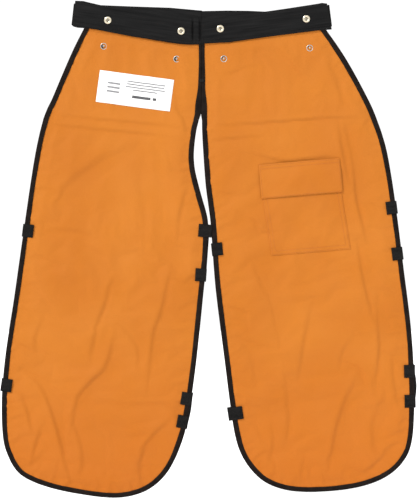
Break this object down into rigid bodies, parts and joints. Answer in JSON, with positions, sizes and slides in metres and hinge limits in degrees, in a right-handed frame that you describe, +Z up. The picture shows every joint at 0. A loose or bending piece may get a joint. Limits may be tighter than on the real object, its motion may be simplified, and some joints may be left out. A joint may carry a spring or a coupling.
{
  "type": "chainsaw chaps",
  "caption": "Apron-style protective leg chaps with padded panels, a folding waistband and belt, leg straps with side-release buckles, and a flap pocket.",
  "frame": {"origin": "on the centre seam where the two legs meet the waistband, in the middle of the shell cloth's thickness", "axes": "+Z up as worn, -Y forward, out of the front of the legs, and -X to the wearer's right"},
  "size_m": [0.8086, 0.0265, 0.964],
  "materials": {
    "orange_shell": "woven nylon shell cloth, slightly crinkled",
    "black_lining": "plain woven lining",
    "pad_fibre": "knitted protective fibre",
    "black_binding": "folded twill edge tape",
    "black_webbing": "flat woven webbing",
    "white_label": "printed woven label with plain bars",
    "snap_brass": "pale plated snap ring",
    "snap_steel": "silver-grey snap stud",
    "black_plastic": "moulded acetal",
    "touch_tape": "hook and loop tape"
  },
  "bodies": {
    "yoke": {"right_yoke_shell": "orange_shell", "right_yoke_lining": "black_lining", "right_yoke_side_binding": "black_binding", "right_crotch_binding": "black_binding", "left_yoke_shell": "orange_shell", "left_yoke_lining": "black_lining", "left_yoke_side_binding": "black_binding", "left_crotch_binding": "black_binding", "crotch_bar_tack": "black_binding", "label": "white_label", "right_snap_stud_1": "snap_steel", "right_snap_stud_2": "snap_steel", "left_snap_stud_1": "snap_steel", "left_snap_stud_2": "snap_steel"},
    "right_leg": {"right_leg_shell": "orange_shell", "right_leg_lining": "black_lining", "right_leg_binding": "black_binding", "right_leg_pad_1": "pad_fibre", "right_leg_pad_2": "pad_fibre", "right_leg_pad_3": "pad_fibre", "right_thigh_strap": "black_webbing", "right_thigh_loop": "black_webbing", "right_thigh_buckle_female": "black_plastic", "right_calf_strap": "black_webbing", "right_calf_loop": "black_webbing", "right_calf_buckle_female": "black_plastic"},
    "right_thigh_prongs": {"right_thigh_buckle_male": "black_plastic"},
    "right_calf_prongs": {"right_calf_buckle_male": "black_plastic"},
    "right_waistband_half": {"right_waistband": "black_webbing", "right_belt_run": "black_webbing", "right_snap_socket_1": "snap_brass", "right_snap_socket_2": "snap_brass", "centre_tuck": "black_webbing"},
    "right_belt": {"right_belt_tail": "black_webbing", "waist_buckle_female": "black_plastic"},
    "left_leg": {"left_leg_shell": "orange_shell", "left_leg_lining": "black_lining", "left_leg_binding": "black_binding", "left_leg_pad_1": "pad_fibre", "left_leg_pad_2": "pad_fibre", "left_leg_pad_3": "pad_fibre", "left_thigh_strap": "black_webbing", "left_thigh_loop": "black_webbing", "left_thigh_buckle_female": "black_plastic", "left_calf_strap": "black_webbing", "left_calf_loop": "black_webbing", "left_calf_buckle_female": "black_plastic", "pocket_bag": "orange_shell", "pocket_loop_tape": "touch_tape"},
    "left_thigh_prongs": {"left_thigh_buckle_male": "black_plastic"},
    "left_calf_prongs": {"left_calf_buckle_male": "black_plastic"},
    "left_waistband_half": {"left_waistband": "black_webbing", "left_belt_run": "black_webbing", "left_snap_socket_1": "snap_brass", "left_snap_socket_2": "snap_brass"},
    "left_belt": {"left_belt_tail": "black_webbing"},
    "waist_buckle_prongs": {"waist_buckle_male": "black_plastic"},
    "pocket_cover": {"pocket_flap": "orange_shell", "flap_hook_tape": "touch_tape"}
  },
  "joints": [
    {"name": "right_leg_swing", "type": "hinge", "parent": "yoke", "child": "right_leg", "pos_m": [0, 0, -0.14], "axis": [-1, 0, 0], "range_deg": [-30, 90]},
    {"name": "right_thigh_release", "type": "slide", "parent": "right_leg", "child": "right_thigh_prongs", "axis": [-0.9924, 0, 0.1234], "range_m": [0, 0.03]},
    {"name": "right_calf_release", "type": "slide", "parent": "right_leg", "child": "right_calf_prongs", "axis": [-0.9902, 0, 0.1399], "range_m": [0, 0.03]},
    {"name": "right_waistband_fold", "type": "hinge", "parent": "yoke", "child": "right_waistband_half", "pos_m": [0, -0.005, -0.002], "axis": [0.9873, 0, -0.159], "range_deg": [0, 180]},
    {"name": "right_belt_swing", "type": "hinge", "parent": "right_waistband_half", "child": "right_belt", "pos_m": [-0.252, 0.0022, 0.0676], "axis": [0.1288, 0, 0.9917], "range_deg": [0, 170]},
    {"name": "left_leg_swing", "type": "hinge", "parent": "yoke", "child": "left_leg", "pos_m": [0, 0, -0.14], "axis": [-1, 0, 0], "range_deg": [-30, 90]},
    {"name": "left_thigh_release", "type": "slide", "parent": "left_leg", "child": "left_thigh_prongs", "axis": [-0.9945, 0, -0.1043], "range_m": [0, 0.03]},
    {"name": "left_calf_release", "type": "slide", "parent": "left_leg", "child": "left_calf_prongs", "axis": [-0.9886, 0, -0.1503], "range_m": [0, 0.03]},
    {"name": "left_waistband_fold", "type": "hinge", "parent": "yoke", "child": "left_waistband_half", "pos_m": [0, -0.005, 0.003], "axis": [0.993, 0, 0.1182], "range_deg": [0, 180]},
    {"name": "left_belt_swing", "type": "hinge", "parent": "left_waistband_half", "child": "left_belt", "pos_m": [0.252, 0.0022, 0.0617], "axis": [0.108, 0, -0.9942], "range_deg": [0, 170]},
    {"name": "waist_buckle_adjust", "type": "slide", "parent": "left_belt", "child": "waist_buckle_prongs", "axis": [0.9942, 0, 0.108], "range_m": [0, 0.09]},
    {"name": "pocket_flap_hinge", "type": "hinge", "parent": "left_leg", "child": "pocket_cover", "pos_m": [0.11, -0.0013, -0.227], "axis": [-0.9963, 0, -0.0854], "range_deg": [0, 150]}
  ],
  "couplings": [
    {"joint": "left_waistband_fold", "follows": "right_waistband_fold", "ratio": 1}
  ]
}
